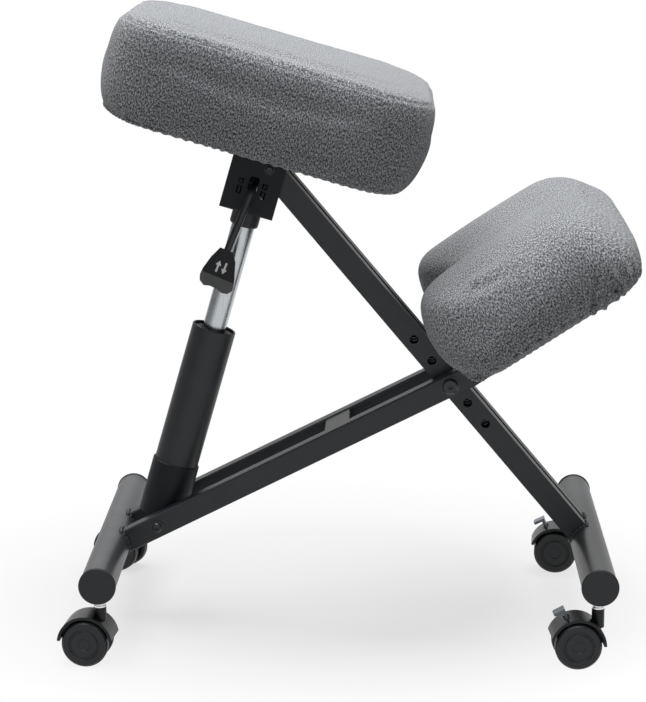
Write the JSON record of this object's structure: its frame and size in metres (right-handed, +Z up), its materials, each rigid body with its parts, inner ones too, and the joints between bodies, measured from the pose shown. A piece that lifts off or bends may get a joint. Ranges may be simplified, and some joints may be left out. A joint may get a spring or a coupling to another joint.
{
  "type": "kneeling chair",
  "caption": "Ergonomic kneeling chair: padded sloping seat and knee pad on a crossed steel frame with a gas lift, release lever and twin-wheel casters.",
  "frame": {"origin": "floor level, at the centre of the chair's bounding box", "axes": "+Z up, +X forward from the seat to the knee pad, +Y to the sitter's left; the release lever is on the -Y side"},
  "size_m": [0.6197, 0.424, 0.6868],
  "materials": {
    "frame_powder_coat": "satin",
    "foot_powder_coat": "satin",
    "knit_cover": "matte heather knit",
    "board": "plain",
    "end_cap": "matte",
    "cylinder_steel": "satin",
    "lift_plastic": "matte",
    "stem_chrome": "polished",
    "dark_fastener": "satin",
    "lever_steel": "satin",
    "paddle_plastic": "satin",
    "brake_metal": "satin",
    "hood_plastic": "satin",
    "wheel_plastic": "satin"
  },
  "bodies": {
    "knee_frame": {"rear_foot_tube": "foot_powder_coat", "rear_tube_caps": "end_cap", "rear_caster_stems": "stem_chrome", "knee_bar_near": "frame_powder_coat", "knee_bar_far": "frame_powder_coat", "knee_cross_plate": "frame_powder_coat", "knee_bar_plugs": "end_cap", "knee_plate": "frame_powder_coat", "knee_plate_screws": "dark_fastener", "knee_board": "board", "knee_cushion": "knit_cover", "crossing_bolt": "dark_fastener", "lift_pivot_bolt": "dark_fastener", "frame_nuts": "dark_fastener"},
    "seat_frame": {"front_foot_tube": "foot_powder_coat", "front_tube_caps": "end_cap", "front_caster_stems": "stem_chrome", "seat_beam_near": "frame_powder_coat", "seat_beam_far": "frame_powder_coat", "crossing_spacers": "dark_fastener"},
    "lift_lower": {"lift_outer_tube": "frame_powder_coat", "lift_lower_sleeve": "frame_powder_coat", "lift_base_plug": "lift_plastic", "lift_guide_bush": "lift_plastic", "lift_piston_rod": "cylinder_steel", "lift_piston": "cylinder_steel"},
    "seat_unit": {"lift_cylinder": "cylinder_steel", "lift_collar": "lift_plastic", "seat_bracket": "frame_powder_coat", "bracket_bolt": "dark_fastener", "bracket_nut": "dark_fastener", "lever_mount": "lever_steel", "lever_pin": "lever_steel", "seat_plate": "frame_powder_coat", "seat_plate_screws": "dark_fastener", "seat_board": "board", "seat_cushion": "knit_cover"},
    "lever": {"lever_rod": "lever_steel", "lever_paddle": "paddle_plastic"},
    "valve": {"valve_pin": "cylinder_steel"},
    "caster_rear_near": {"caster_hood_rear_near": "hood_plastic", "caster_axle_rear_near": "cylinder_steel"},
    "wheel_rear_near_a": {"wheel_rear_near_a": "wheel_plastic"},
    "wheel_rear_near_b": {"wheel_rear_near_b": "wheel_plastic"},
    "caster_rear_far": {"caster_hood_rear_far": "hood_plastic", "caster_axle_rear_far": "cylinder_steel"},
    "wheel_rear_far_a": {"wheel_rear_far_a": "wheel_plastic"},
    "wheel_rear_far_b": {"wheel_rear_far_b": "wheel_plastic"},
    "caster_front_near": {"caster_hood_front_near": "hood_plastic", "caster_axle_front_near": "cylinder_steel"},
    "wheel_front_near_a": {"wheel_front_near_a": "wheel_plastic"},
    "wheel_front_near_b": {"wheel_front_near_b": "wheel_plastic"},
    "brake_tab_front_near": {"brake_tab_front_near": "brake_metal"},
    "caster_front_far": {"caster_hood_front_far": "hood_plastic", "caster_axle_front_far": "cylinder_steel"},
    "wheel_front_far_a": {"wheel_front_far_a": "wheel_plastic"},
    "wheel_front_far_b": {"wheel_front_far_b": "wheel_plastic"},
    "brake_tab_front_far": {"brake_tab_front_far": "brake_metal"}
  },
  "joints": [
    {"name": "frame_crossing", "type": "hinge", "parent": "knee_frame", "child": "seat_frame", "pos_m": [0.1127, 0, 0.275], "axis": [0, -1, 0], "range_deg": [0, 18]},
    {"name": "lift_foot", "type": "hinge", "parent": "knee_frame", "child": "lift_lower", "pos_m": [-0.21182, 0, 0.11391], "axis": [0, -1, 0], "range_deg": [0, 7.2]},
    {"name": "lift_travel", "type": "slide", "parent": "lift_lower", "child": "seat_unit", "axis": [0.2798, 0, 0.96], "range_m": [-0.0858, 0]},
    {"name": "lever_lift", "type": "hinge", "parent": "seat_unit", "child": "lever", "pos_m": [-0.101, -0.02, 0.49409], "axis": [-0.96, 0, 0.2798], "range_deg": [0, 10]},
    {"name": "valve_travel", "type": "slide", "parent": "seat_unit", "child": "valve", "axis": [0.2798, 0, 0.96], "range_m": [-0.0041, 0], "stiffness_N_per_m": 300, "springref_m": 0.004},
    {"name": "swivel_rear_near", "type": "hinge", "parent": "knee_frame", "child": "caster_rear_near", "pos_m": [-0.2623, -0.175, 0.052], "axis": [0, 0, 1], "continuous": true},
    {"name": "spin_rear_near_a", "type": "hinge", "parent": "caster_rear_near", "child": "wheel_rear_near_a", "pos_m": [-0.27622, -0.17354, 0.025], "axis": [0.1045, 0.9945, 0], "continuous": true},
    {"name": "spin_rear_near_b", "type": "hinge", "parent": "caster_rear_near", "child": "wheel_rear_near_b", "pos_m": [-0.27622, -0.17354, 0.025], "axis": [0.1045, 0.9945, 0], "continuous": true},
    {"name": "swivel_rear_far", "type": "hinge", "parent": "knee_frame", "child": "caster_rear_far", "pos_m": [-0.2623, 0.175, 0.052], "axis": [0, 0, 1], "continuous": true},
    {"name": "spin_rear_far_a", "type": "hinge", "parent": "caster_rear_far", "child": "wheel_rear_far_a", "pos_m": [-0.27546, 0.17979, 0.025], "axis": [0.342, 0.9397, 0], "continuous": true},
    {"name": "spin_rear_far_b", "type": "hinge", "parent": "caster_rear_far", "child": "wheel_rear_far_b", "pos_m": [-0.27546, 0.17979, 0.025], "axis": [0.342, 0.9397, 0], "continuous": true},
    {"name": "swivel_front_near", "type": "hinge", "parent": "seat_frame", "child": "caster_front_near", "pos_m": [0.2677, -0.175, 0.052], "axis": [0, 0, 1], "continuous": true},
    {"name": "spin_front_near_a", "type": "hinge", "parent": "caster_front_near", "child": "wheel_front_near_a", "pos_m": [0.24526, -0.17657, 0.025], "axis": [-0.0698, 0.9976, 0], "continuous": true},
    {"name": "spin_front_near_b", "type": "hinge", "parent": "caster_front_near", "child": "wheel_front_near_b", "pos_m": [0.24526, -0.17657, 0.025], "axis": [-0.0698, 0.9976, 0], "continuous": true},
    {"name": "brake_front_near", "type": "hinge", "parent": "caster_front_near", "child": "brake_tab_front_near", "pos_m": [0.23404, -0.17735, 0.05282], "axis": [0.0698, -0.9976, 0], "range_deg": [0, 15]},
    {"name": "swivel_front_far", "type": "hinge", "parent": "seat_frame", "child": "caster_front_far", "pos_m": [0.2677, 0.175, 0.052], "axis": [0, 0, 1], "continuous": true},
    {"name": "spin_front_far_a", "type": "hinge", "parent": "caster_front_far", "child": "wheel_front_far_a", "pos_m": [0.24526, 0.17657, 0.025], "axis": [0.0698, 0.9976, 0], "continuous": true},
    {"name": "spin_front_far_b", "type": "hinge", "parent": "caster_front_far", "child": "wheel_front_far_b", "pos_m": [0.24526, 0.17657, 0.025], "axis": [0.0698, 0.9976, 0], "continuous": true},
    {"name": "brake_front_far", "type": "hinge", "parent": "caster_front_far", "child": "brake_tab_front_far", "pos_m": [0.23404, 0.17735, 0.05282], "axis": [-0.0698, -0.9976, 0], "range_deg": [0, 15]}
  ],
  "couplings": [
    {"joint": "lift_foot", "follows": "frame_crossing", "ratio": 0.3945},
    {"joint": "lift_travel", "follows": "frame_crossing", "m_per_rad": -0.272},
    {"joint": "valve_travel", "follows": "lever_lift", "m_per_rad": -0.0229}
  ]
}
